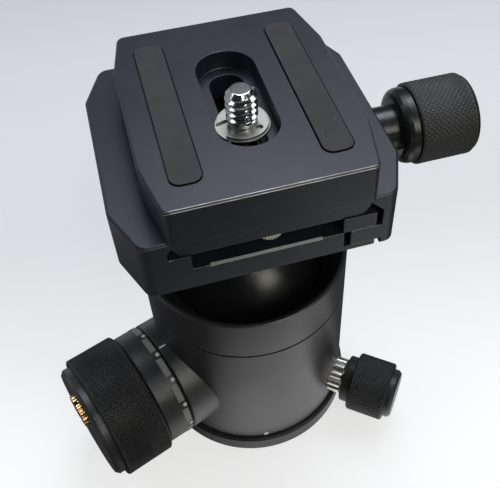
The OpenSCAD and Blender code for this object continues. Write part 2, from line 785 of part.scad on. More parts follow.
module scale_ring() {
    color([0.12, 0.12, 0.13]) on_axis(main_angle, main_z) difference() {
        translate([0, 0, ring_t]) rod(boss_r, 0, scale_w, 0.3);
        cylinder(r = hub_r, h = boss_t * 2);
    }
}

module scale_marks() {
    color([0.95, 0.95, 0.93]) on_axis(main_angle, main_z) for (i = [0:scale_marks_n - 1])
        rotate([0, 0, scale_turn + i * 360 / scale_marks_n]) {
            translate([0, 0, ring_t + 0.7]) rotate([0, 90, 0]) translate([0, 0, boss_r - 0.5])
                cylinder(r = dot_r, h = 0.5 + mark_h);
            rotate([0, 0, (360 / scale_marks_n - mark_arc) / 2]) translate([0, 0, ring_t + 0.35])
                rotate_extrude(angle = mark_arc) translate([boss_r - 0.5, 0]) square([0.5 + mark_h, mark_w]);
        }
}

module main_knob() {
    color([0.08, 0.08, 0.085]) on_axis(main_angle, main_z) difference() {
        union() {
            translate([0, 0, knob_t]) linear_extrude(main_knob_w)
                polygon(fluted(main_knob_d / 2, main_flutes, 0.4));
            translate([0, 0, ring_t]) cylinder(r = hub_r, h = knob_t - ring_t + 1);
        }
        cylinder(r = main_screw_r, h = knob_t + screw_bite);
        translate([-tension_offset, 0, cap_t - tension_stem_l + 1])
            cylinder(r = tension_stem_r + fit, h = tension_stem_l);
        translate([-tension_offset, 0, cap_t - 1]) cylinder(r = tension_r + shy, h = 2);
    }
}

module main_knob_cap() {
    color([0.09, 0.09, 0.095]) on_axis(main_angle, main_z) difference() {
        translate([0, 0, cap_t]) turned([
            [0, 0], [main_cap_d / 2, 0], [main_cap_d / 2, main_cap_w - 0.8],
            [main_cap_d / 2 - 0.8, main_cap_w], [0, main_cap_w]
        ]);
        translate([-tension_offset, 0, cap_t - touch]) cylinder(r = tension_r + shy, h = main_cap_w + 1);
    }
}

module tension_wheel() {
    color([0.85, 0.62, 0.2]) on_axis(main_angle, main_z) translate([-tension_offset, 0, 0]) difference() {
        union() {
            translate([0, 0, cap_t - 0.8]) linear_extrude(main_cap_w + 0.8 + tension_out)
                polygon(lobed(tension_r, 12, 0.5));
            rod(tension_stem_r, cap_t - tension_stem_l + 1.2, cap_t, 0.2);
        }
        translate([-tension_d, -0.5, cap_end_t + tension_out - 0.8]) cube([2 * tension_d, 1, 1]);
    }
}

module pan_lock_screw() {
    color([0.6, 0.6, 0.62]) on_axis(pan_angle, pan_z)
        rod(pan_screw_r, shoe_end_t + 0.3, pan_knob_t + 4, 0.3);
}

module pan_knob() {
    color([0.08, 0.08, 0.085]) on_axis(pan_angle, pan_z) difference() {
        union() {
            translate([0, 0, pan_flange_t]) cylinder(r = pan_flange_r, h = pan_knob_t - pan_flange_t + 1);
            translate([0, 0, pan_knob_t]) linear_extrude(pan_knob_w)
                polygon(fluted(pan_knob_d / 2, 42, 0.35));
        }
        cylinder(r = pan_screw_r, h = pan_knob_t + 4);
    }
}

module pan_knob_cap() {
    color([0.09, 0.09, 0.095]) on_axis(pan_angle, pan_z) translate([0, 0, pan_cap_t]) turned([
        [0, 0], [pan_cap_d / 2, 0], [pan_cap_d / 2, pan_cap_w - 0.7],
        [pan_cap_d / 2 - 0.7, pan_cap_w], [0, pan_cap_w]
    ]);
}

base_plate();
pan_washer();
pan_retainer();
retainer_screw();
housing();
top_collar();
seat_liner();
pan_index_dot();
knob_index_tick();
wedge_block();
brake_shoe();
pan_collar();
lower_cup();
ball();
neck();
clamp_base();
clamp_mount_screw();
guide_pins();
moving_jaw();
clamp_screw();
clamp_knob_stem();
clamp_knob();
clamp_knob_cap();
qr_plate();
pad_left();
pad_right();
stop_screws();
clip_washer();
e_clip();
camera_screw();
main_lock_screw();
main_knob();
main_knob_cap();
scale_ring();
scale_marks();
tension_wheel();
pan_lock_screw();
pan_knob();
pan_knob_cap();
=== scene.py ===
"""Looks for a tripod ball head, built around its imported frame.

Each operator dresses one group of pieces: the knurled knobs, the threaded camera screw, the spring clip
and the finishes of the turned and milled parts. Lengths are in metres, and the pieces take their places
from the frame's own nodes.
"""

import json
import math

import bpy
import numpy as np
from mathutils import Matrix, Vector


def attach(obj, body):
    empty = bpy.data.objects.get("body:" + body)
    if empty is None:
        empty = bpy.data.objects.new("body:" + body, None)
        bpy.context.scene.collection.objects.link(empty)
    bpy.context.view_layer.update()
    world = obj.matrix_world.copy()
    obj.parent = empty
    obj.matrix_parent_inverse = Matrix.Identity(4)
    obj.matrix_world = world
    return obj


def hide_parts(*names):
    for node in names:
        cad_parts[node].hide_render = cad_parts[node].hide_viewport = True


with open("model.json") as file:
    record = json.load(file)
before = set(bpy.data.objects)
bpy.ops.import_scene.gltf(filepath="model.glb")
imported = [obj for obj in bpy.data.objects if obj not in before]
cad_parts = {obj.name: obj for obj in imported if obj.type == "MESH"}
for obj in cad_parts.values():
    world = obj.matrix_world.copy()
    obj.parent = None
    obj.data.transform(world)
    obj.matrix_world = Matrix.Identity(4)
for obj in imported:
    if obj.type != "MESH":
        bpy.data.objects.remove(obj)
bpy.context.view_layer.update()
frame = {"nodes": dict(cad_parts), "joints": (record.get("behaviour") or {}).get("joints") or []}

bl_info = {
    "name": "Tripod Ball Head Looks",
    "version": (1, 0, 0),
    "blender": (4, 5, 0),
    "location": "View3D > Sidebar > Ball Head",
    "description": "Knurled knobs, threads and finishes for a tripod ball head",
    "category": "Object",
}

MM = 0.001
TAU = 2 * math.pi

# Edges sharper than this stay sharp in the new pieces.
SHARP_ANGLE = math.radians(30)

# The grips: the chamfers of the knurled band, and the mesh rows and columns of a diamond.
KNURL_CHAMFER = 0.35 * MM
KNURL_SAMPLES = 6
# How much steeper a diamond's sides are than a plain triangle wave; the tips are then cut off flat.
KNURL_STEEP = 1.35
# A knob's band is where it is at least this share of its full radius.
BAND_SHARE = 0.95
# The step in front of the band: its least length, how far it is set in, and its rounded corner.
FLANGE_LEAST = 0.2 * MM
FLANGE_INSET = 0.02 * MM
FLANGE_ROUND = 0.5 * MM
FLANGE_CUT = 0.15 * MM

# The camera screw: its head with the small ring in its middle, its plain shank and its stud.
SCREW_HUB_RADIUS = 0.4 * MM
SCREW_HEAD_HEIGHT = 2.6 * MM
SCREW_HEAD_ROUND = 0.4 * MM
SHANK_RADIUS = 2.8 * MM
STUD_RADIUS = 3.175 * MM
# Where the thread starts above the head's underside, the length over which the shank widens to it,
# and the radius up to which the tip has none.
THREAD_FOOT = 11.0 * MM
THREAD_RUN_OUT = 0.3 * MM
THREAD_LEAST_RADIUS = 2.4 * MM
# How much steeper the thread's sides are than a plain triangle wave, how much its roots are widened,
# its mesh rows in a turn and its mesh columns.
THREAD_STEEP = 1.35
THREAD_SINK = 0.1
THREAD_ROWS = 20
SCREW_COLUMNS = 96
# Outline of the screw's tip, as distances below its top and radii.
SCREW_TIP = (
    (1.25 * MM, STUD_RADIUS), (0.35 * MM, 2.3 * MM), (0.05 * MM, 2.0 * MM), (0.0, 1.85 * MM), (0.0, 0.3 * MM),
)

# The scale ring: the dots round it, half a dot as a share of their spacing, and the hatching of the bars.
SCALE_DOTS = 13
DOT_SHARE = 0.13
HATCH_PITCH = 0.3 * MM

# The bare bevels in the clamp's pockets: how high above its underside they end, the least lean that
# tells them from flat faces, and how bright they are.
POCKET_TOP = 6.2 * MM
POCKET_LEAN = 0.45
POCKET_SHINE = 0.3
# The two bare lines on each end bevel of the plate, which are painted highlights along the bevel's edges:
# where their inner and outer edges lie from the bevel's middle, and how far in from the plate's end they
# reach.
PLATE_LINE_INNER = (0.22 * MM, 0.30 * MM)
PLATE_LINE_OUTER = (0.38 * MM, 0.46 * MM)
PLATE_LINE_REACH = 0.6 * MM
# How metallic the bare metal is that shows through the black, on cut faces and on the painted highlight
# lines.
BARE_METALLIC = 0.9

# Scales of the surface patterns, per metre.
PIT_SCALE = 5200.0
MOTTLE_SCALE = 420.0
SHEEN_SCALE = 55.0
WORN_EDGE_SCALE = 900.0
BROKEN_LINE_SCALE = 170.0
PLATE_HIGHLIGHT_SCALE = 260.0
SPECK_SCALE = 520.0
SPECK_PICK_SCALE = 330.0
DUST_FILM_SCALE = 140.0
STAIN_SCALE = 600.0
LATHE_SCALE = 3000.0

# How fast wear and the bare lines, which are painted highlights, grow with the bend of an edge, and the leans
# between which an edge comes to count as one across an end.
WORN_EDGE_GAIN = 9.0
END_HIGHLIGHT_GAIN = 30.0
END_LEAN = (0.32, 0.44)
# Dust: the size of its specks, how rare they are, and the share of the film.
SPECK_SIZE = 0.055
SPECK_RARITY = 0.58
FILM_SHARE = 0.16
# Bright metal: the share of its stains and the strength of its grain.
STAIN_SHARE = 0.25
POLISHED_GRAIN = 0.3

# The pitch of the lathe lines, and the depths of pits and lines on blasted and on polished surfaces.
LATHE_PITCH = 0.12 * MM
BLASTED_PIT_DEPTH = 0.02 * MM
BLASTED_LINE_DEPTH = 0.006 * MM
POLISHED_PIT_DEPTH = 0.004 * MM
POLISHED_LINE_DEPTH = 0.0008 * MM

# The stage: the camera's sensor in millimetres, half the floor's width in metres, and the directions of
# the bright part of the surroundings and of the grey wall.
SENSOR_WIDTH = 36
FLOOR_HALF = 3.0
OVERHEAD_WAY = (0.30, 0.36, 0.88)
LEFT_WALL_WAY = (-0.72, 0.68, 0.12)


# ---------------------------------------------------------------- settings


def length(name, text, default):
    """A length property in metres."""
    return bpy.props.FloatProperty(
        name=name, description=text, default=default, unit="LENGTH", precision=5
    )


def number(name, text, default):
    """A plain number property."""
    return bpy.props.FloatProperty(name=name, description=text, default=default, precision=4)


def tint(name, text, default):
    """A linear colour property."""
    return bpy.props.FloatVectorProperty(
        name=name, description=text, default=default, subtype="COLOR", size=3, min=0, max=1
    )


class BallHeadSizes(bpy.types.PropertyGroup):
    """Sizes of the details that the frame leaves plain."""

    main_knurl_pitch: length("Main knurl pitch", "Distance between diamonds on the main knob", 0.82 * MM)
    main_knurl_depth: length("Main knurl depth", "Depth of the main knob's grooves", 0.27 * MM)
    small_knurl_pitch: length("Small knurl pitch", "Distance between diamonds on the small knobs", 1.15 * MM)
    small_knurl_depth: length("Small knurl depth", "Depth of the small knobs' grooves", 0.22 * MM)
    thread_pitch: length("Thread pitch", "Pitch of the camera screw's thread", 1.45 * MM)
    thread_depth: length("Thread depth", "Depth of the camera screw's thread", 0.80 * MM)
    edge_radius: length("Edge radius", "Radius of the broken edges of the milled parts", 0.14 * MM)


class BallHeadColours(bpy.types.PropertyGroup):
    """Colours of the finishes."""

    housing: tint("Housing", "Satin black of the turned body", (0.018, 0.018, 0.021))
    base: tint("Base", "Black of the base disc", (0.022, 0.022, 0.024))
    clamp: tint("Clamp", "Satin black of the clamp", (0.014, 0.016, 0.027))
    plate: tint("Plate", "Satin black of the camera plate", (0.014, 0.016, 0.027))
    knob: tint("Knobs", "Black of the main and pan grips", (0.018, 0.018, 0.019))
    clamp_knob: tint("Clamp knob", "Black of the clamp knob's grip", (0.036, 0.036, 0.037))
    cap: tint("Knob caps", "Black of the smooth turned caps", (0.028, 0.028, 0.032))
    stem: tint("Stem", "Black of the clamp knob's stem", (0.014, 0.014, 0.015))
    ball: tint("Ball", "Glossy black of the ball", (0.006, 0.006, 0.008))
    rubber: tint("Rubber", "Grey of the rubber pads", (0.045, 0.045, 0.047))
    steel: tint("Steel", "Bright turned steel", (0.62, 0.62, 0.64))
    chrome: tint("Chrome", "Bright plated steel", (0.72, 0.72, 0.74))
    clip: tint("Clip", "Satin plating of the clip and its washer", (0.42, 0.42, 0.39))
    nickel: tint("Nickel", "Warm plating of the pan knob's collar", (0.80, 0.78, 0.72))
    brass: tint("Brass", "Brass of the tension wheel", (0.80, 0.52, 0.24))
    # Also the colour of the painted highlight lines along the end edges of the milled parts.
    bare: tint("Bare metal", "Bare aluminium of the cut edges", (0.62, 0.62, 0.63))
    mark: tint("Marks", "White paint of the dots and the tick", (0.66, 0.66, 0.62))
    bar: tint("Scale bars", "Grey paint of the scale's bars", (0.36, 0.36, 0.34))
    hatch: tint("Hatching", "Dark lines across the scale's bars", (0.06, 0.06, 0.06))
    polymer: tint("Polymer", "Dark sliding polymer", (0.016, 0.016, 0.017))
    worn: tint("Worn edges", "Grey of the worn edges of black parts", (0.34, 0.34, 0.35))
    dust: tint("Dust", "Pale dust and lint", (0.55, 0.55, 0.52))
    tarnish: tint("Tarnish", "Brownish stains on bright metal", (0.25, 0.22, 0.18))
    # Painted shade: near black for the upright sides of the pads, where shade falls in the narrow gaps beside
    # them.
    gap: tint("Gaps", "Near black of the narrow gaps beside the pads", (0.003, 0.003, 0.003))


class BallHeadStage(bpy.types.PropertyGroup):
    """Camera, floor and surroundings."""

    lens: bpy.props.FloatProperty(name="Lens", description="Focal length in millimetres", default=53.566)
    shift_x: number("Shift X", "Sideways shift of the picture", -0.03827)
    shift_y: number("Shift Y", "Upward shift of the picture", -0.0609)
    place: bpy.props.FloatVectorProperty(
        name="Camera place", description="Where the camera stands", size=3, unit="LENGTH",
        default=(-0.022399, -0.112233, 0.19244),
    )
    heading: bpy.props.FloatProperty(
        name="Heading", description="Turn of the camera about the vertical", default=-0.253, unit="ROTATION"
    )
    pitch: bpy.props.FloatProperty(
        name="Pitch", description="How far the camera looks down", default=0.834, unit="ROTATION"
    )
    roll: bpy.props.FloatProperty(
        name="Roll", description="Roll of the camera", default=0.036, unit="ROTATION"
    )
    floor_tint: tint("Floor", "Colour of the floor near the camera", (1.0, 1.0, 1.0))
    # Painted shade: the floor turns to this greyer colour far off, where less light falls on it.
    floor_far_shade: tint("Far floor", "Colour of the floor behind the object", (0.56, 0.57, 0.60))
    floor_level: number("Floor level", "Brightness of the floor to the camera", 1.18)
    floor_bounce: number("Floor bounce", "Brightness of the floor beside the base, to rays that bounce", 1.1)
    floor_around: number("Floor around", "Brightness of the floor behind and far out to bouncing rays", 0.5)
    floor_gloss: number("Floor gloss", "Share of the pale floor that reflections show", 0.07)
    shadow_share: number("Shadow share", "How far the shadow darkens the floor", 0.42)
    world_tint: tint("World", "Colour of the surroundings", (0.88, 0.93, 1.0))
    world_level: number("World level", "Brightness of the surroundings overhead", 0.42)
    world_low: number("Low world level", "Brightness of the surroundings near the floor", 0.02)
    wall_level: number("Wall level", "Brightness of the grey wall behind to the left", 0.30)
    backdrop_level: number("Backdrop level", "Brightness of the surroundings to the camera", 0.66)


# ---------------------------------------------------------------- frame measures


def points_of(node):
    """Corners of a CAD node's mesh, as an array of rows."""
    mesh = frame["nodes"][node].data
    out = np.empty(len(mesh.vertices) * 3)
    mesh.vertices.foreach_get("co", out)
    return out.reshape(-1, 3)


def joint_axis(name):
    """Origin and unit axis of a joint, as arrays."""
    joint = next(j for j in frame["joints"] if j["name"] == name)
    axis = np.array(joint["axis"], float)
    return np.array(joint.get("pos_m", (0, 0, 0)), float), axis / np.linalg.norm(axis)


def round_axis(node, origin, axis):
    """Places of a node's corners along an axis and their radii around it."""
    rel = points_of(node) - origin
    along = rel @ axis
    return along, np.linalg.norm(rel - np.outer(along, axis), axis=1)


def side_vectors(axis):
    """Two unit vectors square to an axis; the first is as near to upright as it can be."""
    up = np.array((0.0, 0.0, 1.0)) if abs(axis[2]) < 0.9 else np.array((1.0, 0.0, 0.0))
    first = up - (up @ axis) * axis
    first /= np.linalg.norm(first)
    return first, np.cross(axis, first)


# ---------------------------------------------------------------- meshes


def mesh_object(name, verts, faces):
    """Makes an object from an array of corners and arrays of faces, each with its own number of sides."""
    mesh = bpy.data.meshes.new(name)
    mesh.vertices.add(len(verts))
    mesh.vertices.foreach_set("co", np.asarray(verts, np.float32).ravel())
    loops = np.concatenate([f.ravel() for f in faces]).astype(np.int32)
    sides = np.concatenate([np.full(len(f), f.shape[1], np.int32) for f in faces])
    mesh.loops.add(len(loops))
    mesh.loops.foreach_set("vertex_index", loops)
    mesh.polygons.add(len(sides))
    mesh.polygons.foreach_set("loop_start", (np.cumsum(sides) - sides).astype(np.int32))
    mesh.polygons.foreach_set("use_smooth", np.ones(len(sides), bool))
    mesh.update(calc_edges=True)
    mesh.validate()
    mesh.set_sharp_from_angle(angle=SHARP_ANGLE)
    obj = bpy.data.objects.new(name, mesh)
    bpy.context.scene.collection.objects.link(obj)
    return obj


def tube_faces(rows, cols):
    """Quads of a grid of rows along an axis and columns around it, closed around."""
    r, c = np.meshgrid(np.arange(rows - 1), np.arange(cols), indexing="ij")
    n = (c + 1) % cols
    quads = np.stack([r * cols + c, r * cols + n, (r + 1) * cols + n, (r + 1) * cols + c], -1)
    return quads.reshape(-1, 4)


def turned_surface(name, origin, axis, along, radius):
    """A closed turned surface.

    A point is origin + axis * along(row, column) + the spoke at the column's angle * radius(row, column).
    The first and last rows are closed by a fan to a single corner on the axis.
    """
    rows, cols = radius.shape
    first, second = side_vectors(axis)
    angle = np.arange(cols) * TAU / cols
    spoke = np.outer(np.cos(angle), first) + np.outer(np.sin(angle), second)
    along = np.broadcast_to(along, radius.shape)
    grid = origin + along[..., None] * axis + radius[..., None] * spoke[None]
    ends = np.stack([origin + axis * along[0].mean(), origin + axis * along[-1].mean()])
    verts = np.concatenate([grid.reshape(-1, 3), ends])
    i = np.arange(cols)
    n = (i + 1) % cols
    low = np.stack([n, i, np.full(cols, rows * cols)], -1)
    base = (rows - 1) * cols
    high = np.stack([base + i, base + n, np.full(cols, rows * cols + 1)], -1)
    return mesh_object(name, verts, [tube_faces(rows, cols), low, high])


def profile_rows(points, step):
    """Places along an outline of (along, radius) corners, spaced no further apart than step."""
    out = [np.array(points[0], float)[None]]
    for a, b in zip(points[:-1], points[1:]):
        a, b = np.array(a, float), np.array(b, float)
        count = max(1, int(math.ceil(np.linalg.norm(b - a) / step)))
        out.append(a + (b - a) * (np.arange(1, count + 1) / count)[:, None])
    return np.concatenate(out)


def wave(x):
    """A triangle wave between 0 and 1 with a period of 1."""
    return 1 - np.abs(2 * (x - np.floor(x)) - 1)


def diamonds(turns, along, count, pitch):
    """Height of a diamond knurl from 0 in the grooves to 1 on the tips.

    Two families of helical grooves cross; each is a triangle wave of angle plus or minus place.
    The height is the lower of the two waves, cut off flat near the tips.
    """
    left = wave(turns * count + along / pitch)
    right = wave(turns * count - along / pitch)
    return np.minimum(np.minimum(left, right) * KNURL_STEEP, 1)


def knurled_grip(name, origin, axis, start, end, radius, bore, pitch, depth, flange=None):
    """A grip with a diamond knurl whose depth fades out over the chamfers at both ends.

    A flange is a (start, radius) pair: a smooth round step in front of the knurled band.
    """
    count = int(round(TAU * radius / pitch))
    cols = count * KNURL_SAMPLES
    rim = radius - KNURL_CHAMFER
    shoulder = radius - 2 * KNURL_CHAMFER
    body = profile_rows(
        [(start, rim), (start + KNURL_CHAMFER, radius), (end - KNURL_CHAMFER, radius), (end, rim)],
        pitch / KNURL_SAMPLES,
    )
    low = [(start, bore), (start, shoulder)]
    if flange is not None:
        place, wide = flange
        low = [(place, bore), (place, wide - FLANGE_ROUND), (place + FLANGE_CUT, wide - FLANGE_CUT),
               (place + FLANGE_ROUND, wide), (start, wide), (start, shoulder)]
    high = [(end, shoulder), (end, bore)]
    rows = np.concatenate([np.array(low), body, np.array(high)])
    turns = np.arange(cols) / cols
    relief = diamonds(turns[None], (rows[:, 0] - start)[:, None], count, pitch)
    on_band = np.zeros(len(rows))
    on_band[len(low):-len(high)] = 1
    inset = np.clip(np.minimum(rows[:, 0] - start, end - rows[:, 0]) / (2 * KNURL_CHAMFER), 0, 1)
    radii = rows[:, 1:2] - depth * (1 - relief) * (on_band * inset)[:, None]
    return turned_surface(name, origin, axis, rows[:, 0:1], radii)


# ---------------------------------------------------------------- shader nodes


def new_group(name, inputs, outputs):
    """An empty shader group with sockets from (name, kind, default) rows."""
    group = bpy.data.node_groups.new(name, "ShaderNodeTree")
    for label, kind, value in inputs:
        socket = group.interface.new_socket(name=label, in_out="INPUT", socket_type=kind)
        if value is not None:
            socket.default_value = value
    for label, kind in outputs:
        group.interface.new_socket(name=label, in_out="OUTPUT", socket_type=kind)
    return group, group.nodes.new("NodeGroupInput"), group.nodes.new("NodeGroupOutput")


def feed(group, value, slot):
    """Links a socket to an input, or sets the input to a plain value; None leaves it as it is."""
    if isinstance(value, bpy.types.NodeSocket):
        group.links.new(value, slot)
    elif value is not None:
        slot.default_value = value


def math_node(group, operation, a, b=None, c=None, clamp=False):
    """A Math node whose inputs are sockets or plain numbers."""
    node = group.nodes.new("ShaderNodeMath")
    node.operation = operation
    node.use_clamp = clamp
    for slot, value in zip(node.inputs, (a, b, c)):
        feed(group, value, slot)
    return node.outputs[0]


def product(group, first, *others):
    """The product of sockets and plain numbers, taken in their order."""
    for other in others:
        first = math_node(group, "MULTIPLY", first, other)
    return first


def vector_node(group, operation, a, b=None):
    """A Vector Math node whose inputs are sockets or plain vectors."""
    node = group.nodes.new("ShaderNodeVectorMath")
    node.operation = operation
    feed(group, a, node.inputs[0])
    feed(group, b, node.inputs[1])
    return node


def parts_of(group, vector):
    """The X, Y and Z of a vector."""
    node = group.nodes.new("ShaderNodeSeparateXYZ")
    group.links.new(vector, node.inputs[0])
    return node.outputs


def mix_colour(group, factor, a, b):
    """A Mix node for colours; factor and colours are sockets or plain values."""
    node = group.nodes.new("ShaderNodeMix")
    node.data_type = "RGBA"
    for slot, value in ((node.inputs[0], factor), (node.inputs[6], a), (node.inputs[7], b)):
        feed(group, value, slot)
    return node.outputs[2]


def blend_range(group, value, low, high, start, end):
    """A smooth step: start where the value is below low, end where it is above high."""
    node = group.nodes.new("ShaderNodeMapRange")
    node.interpolation_type = "SMOOTHSTEP"
    for slot, given in zip(node.inputs, (value, low, high, start, end)):
        feed(group, given, slot)
    return node.outputs[0]


def noise(group, vector, scale, detail, roughness=0.55):
    """A Noise node's value, from 0 to 1, at a scale per metre."""
    node = group.nodes.new("ShaderNodeTexNoise")
    group.links.new(vector, node.inputs["Vector"])
    node.inputs["Scale"].default_value = scale
    node.inputs["Detail"].default_value = detail
    node.inputs["Roughness"].default_value = roughness
    return node.outputs[0]


def patches(group, vector, scale, detail, gain, offset, roughness=0.55):
    """Uneven patches: a noise value times the gain plus the offset, held between 0 and 1."""
    value = noise(group, vector, scale, detail, roughness)
    return math_node(group, "MULTIPLY_ADD", value, gain, offset, clamp=True)


def swing(group, value, width):
    """A value from 0 to 1 turned into one as wide as the width, with its middle at 0."""
    return math_node(group, "MULTIPLY_ADD", value, width, -width / 2)


# ---------------------------------------------------------------- shader groups


def build_blasted_grain():
    """Bead-blasted grain: fine pits, soft mottling and faint handling sheen.

    The roughness swings about its own value with all three, and the colour's brightness with the
    mottling and the pits.
    """
    group, given, out = new_group(
        "blasted_grain",
        [("Vector", "NodeSocketVector", None), ("Colour", "NodeSocketColor", (0.05, 0.05, 0.05, 1)),
         ("Roughness", "NodeSocketFloat", 0.45), ("Grain", "NodeSocketFloat", 1.0)],
        [("Colour", "NodeSocketColor"), ("Roughness", "NodeSocketFloat"), ("Height", "NodeSocketFloat")],
    )
    vector = given.outputs["Vector"]
    pits = noise(group, vector, PIT_SCALE, 2.0)
    mottle = noise(group, vector, MOTTLE_SCALE, 3.0)
    sheen = noise(group, vector, SHEEN_SCALE, 2.0)
    group.links.new(product(group, pits, given.outputs["Grain"]), out.inputs["Height"])
    spread = swing(group, mottle, 0.10)
    for pattern, width in ((sheen, 0.16), (pits, 0.12)):
        spread = math_node(group, "ADD", spread, swing(group, pattern, width))
    rough = math_node(group, "ADD", given.outputs["Roughness"], spread, clamp=True)
    group.links.new(rough, out.inputs["Roughness"])
    lift = math_node(group, "MULTIPLY_ADD", mottle, 0.35, 0.82)
    lift = product(group, lift, math_node(group, "MULTIPLY_ADD", pits, 0.5, 0.75))
    shade = vector_node(group, "SCALE", given.outputs["Colour"])
    group.links.new(lift, shade.inputs["Scale"])
    group.links.new(shade.outputs[0], out.inputs["Colour"])
    return group


def build_lathe_lines():
    """Lathe lines: fine rings around the part's own axis, uneven in depth.

    The vector's X and Y are square to the axis and Z runs along it.
    """
    group, given, out = new_group(
        "lathe_lines",
        [("Vector", "NodeSocketVector", None), ("Pitch", "NodeSocketFloat", LATHE_PITCH)],
        [("Height", "NodeSocketFloat")],
    )
    x, y, z = parts_of(group, given.outputs["Vector"])
    radius = math_node(group, "SQRT", math_node(group, "MULTIPLY_ADD", y, y, product(group, x, x)))
    turns = math_node(group, "DIVIDE", math_node(group, "ADD", radius, z), given.outputs["Pitch"])
    ring = math_node(group, "SINE", product(group, turns, TAU))
    join = group.nodes.new("ShaderNodeCombineXYZ")
    group.links.new(product(group, radius, LATHE_SCALE), join.inputs[0])
    group.links.new(product(group, z, LATHE_SCALE), join.inputs[1])
    uneven = noise(group, join.outputs[0], 1.0, 2.0)
    group.links.new(math_node(group, "ADD", product(group, ring, uneven), uneven), out.inputs["Height"])
    return group


def build_edge_break():
    """Broken edges: a rounded normal, a mask of the worn edges, and a painted highlight line along those
    across the ends.

    The bend is how far the rounded normal turns away from the flat one. An edge across an end of a
    milled part is one whose rounded normal leans both along Y and upwards.
    """
    radius = bpy.context.scene.ball_head_sizes.edge_radius
    group, given, out = new_group(
        "edge_break",
        [("Vector", "NodeSocketVector", None), ("Wear", "NodeSocketFloat", 0.5),
         ("Ends", "NodeSocketFloat", 0.0), ("Radius", "NodeSocketFloat", radius)],
        [("Normal", "NodeSocketVector"), ("Mask", "NodeSocketFloat"), ("Line", "NodeSocketFloat")],
    )
    vector = given.outputs["Vector"]
    bevel = group.nodes.new("ShaderNodeBevel")
    bevel.samples = 6
    group.links.new(given.outputs["Radius"], bevel.inputs["Radius"])
    flat = group.nodes.new("ShaderNodeNewGeometry").outputs["Normal"]
    same = vector_node(group, "DOT_PRODUCT", bevel.outputs[0], flat).outputs["Value"]
    bend = math_node(group, "SUBTRACT", 1.0, same, clamp=True)
    worn = patches(group, vector, WORN_EDGE_SCALE, detail=3.0, gain=1.6, offset=-0.3, roughness=0.7)
    mask = math_node(group, "MULTIPLY", bend, WORN_EDGE_GAIN, clamp=True)
    group.links.new(product(group, mask, worn, given.outputs["Wear"]), out.inputs["Mask"])
    # The line across the ends is a painted highlight: bare metal on edges whose rounded normal leans along Y
    # and upwards.
    _, y, z = parts_of(group, bevel.outputs[0])
    lean = product(group, math_node(group, "ABSOLUTE", y), z)
    across = blend_range(group, lean, *END_LEAN, 0.0, 1.0)
    broken = patches(group, vector, BROKEN_LINE_SCALE, detail=3.0, gain=2.4, offset=-0.6, roughness=0.7)
    line = math_node(group, "MULTIPLY", bend, END_HIGHLIGHT_GAIN, clamp=True)
    group.links.new(product(group, line, across, broken, given.outputs["Ends"]), out.inputs["Line"])
    group.links.new(bevel.outputs[0], out.inputs["Normal"])
    return group


def build_dust():
    """Fine dust and lint: sparse pale specks and a thin uneven film."""
    pale = (*bpy.context.scene.ball_head_colours.dust, 1)
    group, given, out = new_group(
        "dust",
        [("Vector", "NodeSocketVector", None), ("Colour", "NodeSocketColor", (0.05, 0.05, 0.05, 1)),
         ("Amount", "NodeSocketFloat", 0.3)],
        [("Colour", "NodeSocketColor")],
    )
    vector = given.outputs["Vector"]
    cells = group.nodes.new("ShaderNodeTexVoronoi")
    cells.inputs["Scale"].default_value = SPECK_SCALE
    group.links.new(vector, cells.inputs["Vector"])
    speck = math_node(group, "LESS_THAN", cells.outputs["Distance"], SPECK_SIZE)
    picked = math_node(group, "GREATER_THAN", noise(group, vector, SPECK_PICK_SCALE, 1.0), SPECK_RARITY)
    film = patches(group, vector, DUST_FILM_SCALE, detail=4.0, gain=0.5, offset=-0.18, roughness=0.65)
    mask = math_node(group, "ADD", product(group, speck, picked), product(group, film, FILM_SHARE))
    mask = math_node(group, "MULTIPLY", mask, given.outputs["Amount"], clamp=True)
    group.links.new(mix_colour(group, mask, given.outputs["Colour"], pale), out.inputs["Colour"])
    return group


GROUPS = {}


def place_group(tree, name, vector, **values):
    """Places a shared group in a material, with its vector and its own values."""
    node = tree.nodes.new("ShaderNodeGroup")
    node.node_tree = GROUPS[name]
    tree.links.new(vector, node.inputs["Vector"])
    for label, value in values.items():
        feed(tree, value, node.inputs[label])
    return node


# ---------------------------------------------------------------- materials


def blank_material(name):
    """A material with its Principled shader, and the Object coordinates."""
    material = bpy.data.materials.new(name)
    material.use_nodes = True
    tree = material.node_tree
    shader = tree.nodes["Principled BSDF"]
    coords = tree.nodes.new("ShaderNodeTexCoord").outputs["Object"]
    return material, tree, shader, coords


def axis_vector(tree, coords, origin, axis):
    """Object coordinates moved and turned so that Z runs along a part's axis."""
    turn = Vector(axis).to_track_quat("Z", "Y").to_matrix().to_4x4()
    back = (Matrix.Translation(Vector(origin)) @ turn).inverted()
    node = tree.nodes.new("ShaderNodeMapping")
    node.inputs["Location"].default_value = back.to_translation()
    node.inputs["Rotation"].default_value = back.to_euler("XYZ")
    tree.links.new(coords, node.inputs["Vector"])
    return node.outputs[0]


def bump(tree, height, distance, strength, normal=None):
    """A Bump node's normal; distance is the height of a value of 1, in metres."""
    node = tree.nodes.new("ShaderNodeBump")
    node.inputs["Strength"].default_value = strength
    node.inputs["Distance"].default_value = distance
    feed(tree, height, node.inputs["Height"])
    feed(tree, normal, node.inputs["Normal"])
    return node.outputs[0]


def feed_shader(tree, shader, base, grain, normal):
    """Feeds a material's shader with its colour, the grain's roughness and its normal."""
    tree.links.new(base, shader.inputs["Base Color"])
    tree.links.new(grain.outputs["Roughness"], shader.inputs["Roughness"])
    tree.links.new(normal, shader.inputs["Normal"])


